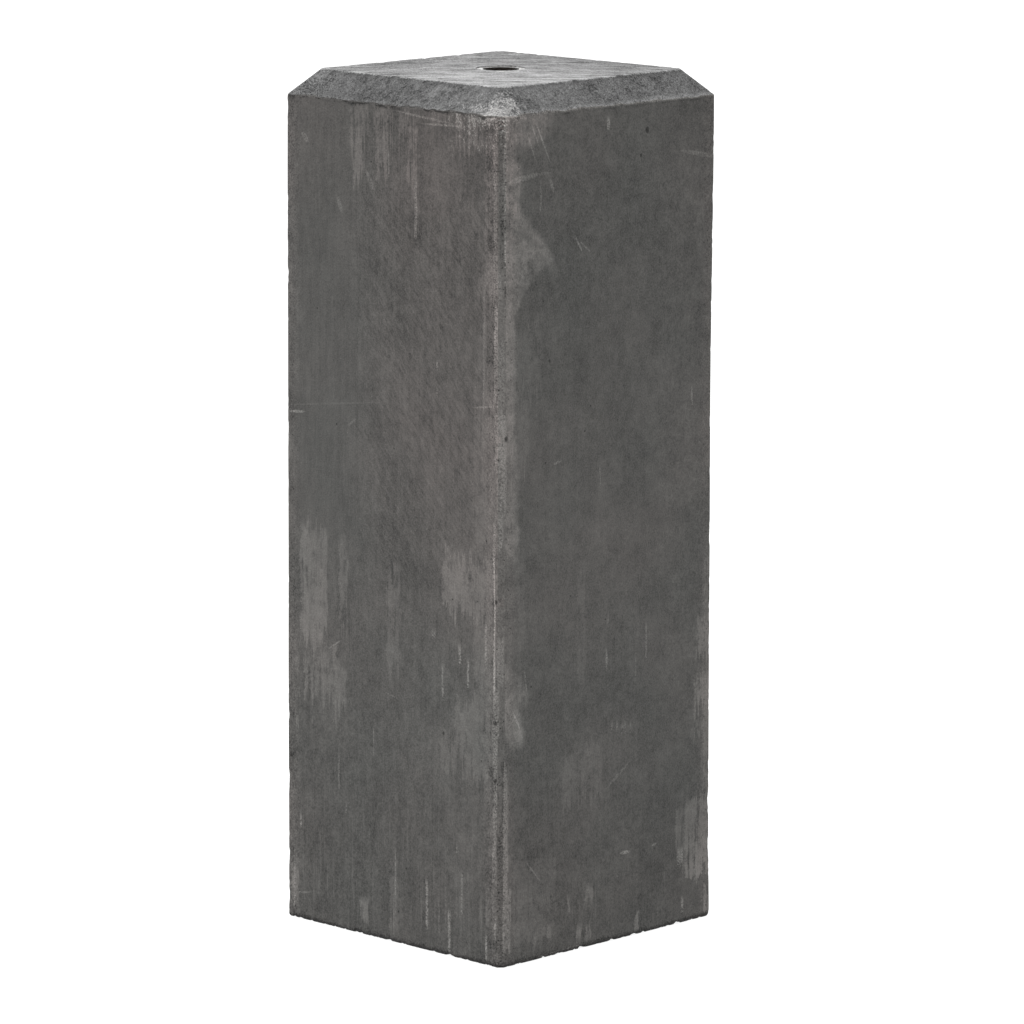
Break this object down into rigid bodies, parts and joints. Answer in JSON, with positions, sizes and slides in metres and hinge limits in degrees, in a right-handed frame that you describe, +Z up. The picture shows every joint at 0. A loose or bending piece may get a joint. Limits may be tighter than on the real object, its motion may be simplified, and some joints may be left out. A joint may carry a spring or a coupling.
{
  "type": "column base block",
  "caption": "Square cast concrete column footing with a chamfered head and a threaded steel sleeve in its top for an adjustable post foot.",
  "frame": {"origin": "centre of the underside, on the surface that the block stands on", "axes": "+Z up along the block and its sleeve, X and Y square to the side faces"},
  "size_m": [0.1786, 0.1786, 0.5],
  "materials": {
    "concrete": "dark grey concrete as cast, matt, with cloudy streaks, pale drips and fine pinholes",
    "sleeve_steel": "dull zinc plate, partly filmed with cement"
  },
  "bodies": {
    "root": {"concrete_block": "concrete", "threaded_sleeve": "sleeve_steel"}
  },
  "joints": []
}
